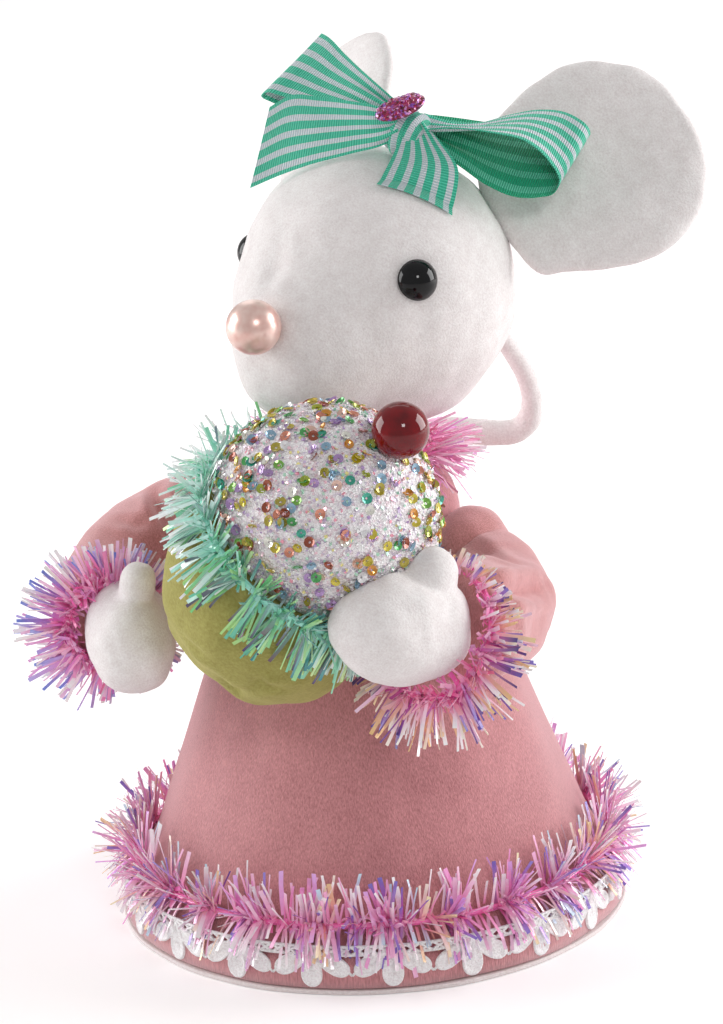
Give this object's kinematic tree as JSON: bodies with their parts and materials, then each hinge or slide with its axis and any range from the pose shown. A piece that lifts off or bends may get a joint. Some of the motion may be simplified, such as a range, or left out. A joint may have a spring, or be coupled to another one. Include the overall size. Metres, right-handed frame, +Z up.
{
  "type": "mouse figurine",
  "caption": "Stuffed mouse in a cone-shaped velvet dress with tinsel trims, holding a big cupcake; posable head, arms and tail; stands on a weighted round base.",
  "frame": {"origin": "centre of the round base, on the surface that the figurine stands on", "axes": "+Z up; the mouse faces -Y, so its own left side is +X and its tail is at +Y"},
  "size_m": [0.2589, 0.2872, 0.3967],
  "materials": {
    "base_felt": "pressed felt, matt",
    "base_board": "stiff board, matt",
    "ballast_cloth": "plain cotton bag of grit",
    "pink_velvet": "short pile velvet",
    "stuffing": "polyester fibre",
    "dowel_wood": "plain turned",
    "white_lace": "corded embroidery lace",
    "hem_tinsel": "iridescent film strips",
    "collar_tinsel": "iridescent film strips",
    "cuff_tinsel": "iridescent film strips",
    "green_tinsel": "iridescent film strips",
    "green_felt": "pressed felt, matt",
    "foam": "cut polystyrene foam",
    "frosting": "white glitter with coloured cup sequins",
    "cherry_gloss": "deep clear gloss",
    "white_velour": "short pile velour",
    "pearl": "pearl coated",
    "black_eye": "polished",
    "eye_washer": "moulded",
    "striped_ribbon": "ribbed ribbon with white stripes",
    "gem": "resin stone with glitter",
    "wire": "soft annealed"
  },
  "bodies": {
    "figure": {"base_felt": "base_felt", "base_board": "base_board", "ballast_bag": "ballast_cloth", "dress": "pink_velvet", "torso_stuffing": "stuffing", "neck_dowel": "dowel_wood", "hem_lace": "white_lace", "hem_tinsel": "hem_tinsel", "collar_tinsel": "collar_tinsel", "cup_felt": "green_felt", "cup_core": "foam", "cupcake_frosting": "frosting", "cupcake_tinsel": "green_tinsel", "cherry": "cherry_gloss"},
    "head": {"head_cover": "white_velour", "head_stuffing": "stuffing", "nose_bead": "pearl", "left_eye": "black_eye", "right_eye": "black_eye", "eye_washers": "eye_washer", "left_ear": "white_velour", "right_ear": "white_velour", "bow_knot": "striped_ribbon", "bow_loop_right": "striped_ribbon", "bow_loop_left": "striped_ribbon", "bow_tail_long": "striped_ribbon", "bow_tail_short": "striped_ribbon", "bow_gem": "gem"},
    "left_arm": {"left_sleeve": "pink_velvet", "left_paw": "white_velour", "left_arm_wire": "wire", "left_cuff_tinsel": "cuff_tinsel"},
    "right_arm": {"right_sleeve": "pink_velvet", "right_paw": "white_velour", "right_arm_wire": "wire", "right_cuff_tinsel": "cuff_tinsel"},
    "tail": {"tail_cover": "white_velour", "tail_wire": "wire"}
  },
  "joints": [
    {"name": "head_turn", "type": "hinge", "parent": "figure", "child": "head", "pos_m": [0.004, 0.006, 0.221], "axis": [0, 0, 1], "range_deg": [-18, 3]},
    {"name": "left_arm_swing", "type": "hinge", "parent": "figure", "child": "left_arm", "pos_m": [0.045, 0.004, 0.178], "axis": [0, 0, 1], "range_deg": [0, 18]},
    {"name": "right_arm_swing", "type": "hinge", "parent": "figure", "child": "right_arm", "pos_m": [-0.045, 0.004, 0.178], "axis": [0, 0, -1], "range_deg": [0, 18]},
    {"name": "tail_wag", "type": "hinge", "parent": "figure", "child": "tail", "pos_m": [0.004, 0.05659, 0.084], "axis": [0, 1, 0], "range_deg": [-15, 15]}
  ]
}
